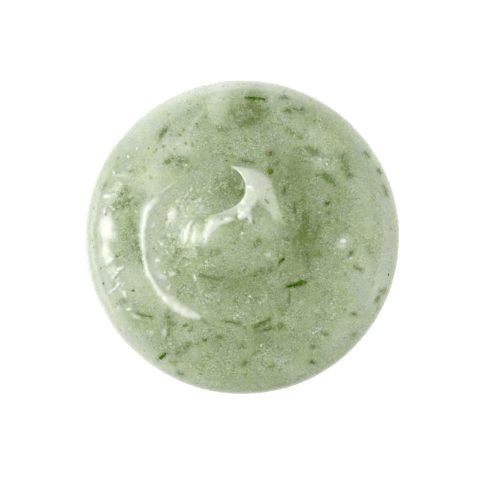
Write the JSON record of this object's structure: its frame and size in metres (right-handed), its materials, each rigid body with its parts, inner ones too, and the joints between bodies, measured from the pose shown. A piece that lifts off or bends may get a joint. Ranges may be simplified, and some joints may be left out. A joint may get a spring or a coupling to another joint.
{
  "type": "shaving soap puck",
  "caption": "Round translucent soap puck with a swirled top and dried herb pieces set in it, to be lathered with a brush.",
  "frame": {"origin": "centre of the flat underside, the face the puck rests on", "axes": "+Z up out of the swirled face; seen from above with +X to the right and +Y up, the crescent rim is on the left and the curl's tip points up"},
  "size_m": [0.076, 0.076, 0.0236],
  "materials": {
    "milky_soap": "satin",
    "herb_soap": "gloss",
    "green_leaf": "matte",
    "olive_leaf": "matte",
    "amber_husk": "satin",
    "dark_husk": "matte",
    "salt_crystal": "gloss"
  },
  "bodies": {
    "root": {"milky_base_pour": "milky_soap", "herb_upper_pour": "herb_soap", "swirl_rim": "herb_soap", "swirl_mound": "herb_soap", "flicked_curl": "herb_soap", "leaf_blades": "green_leaf", "leaf_chips": "green_leaf", "suspended_leaves": "green_leaf", "herb_crumbs": "olive_leaf", "stem_needles": "olive_leaf", "amber_husks": "amber_husk", "dark_specks": "dark_husk", "pale_crystals": "salt_crystal"}
  },
  "joints": []
}
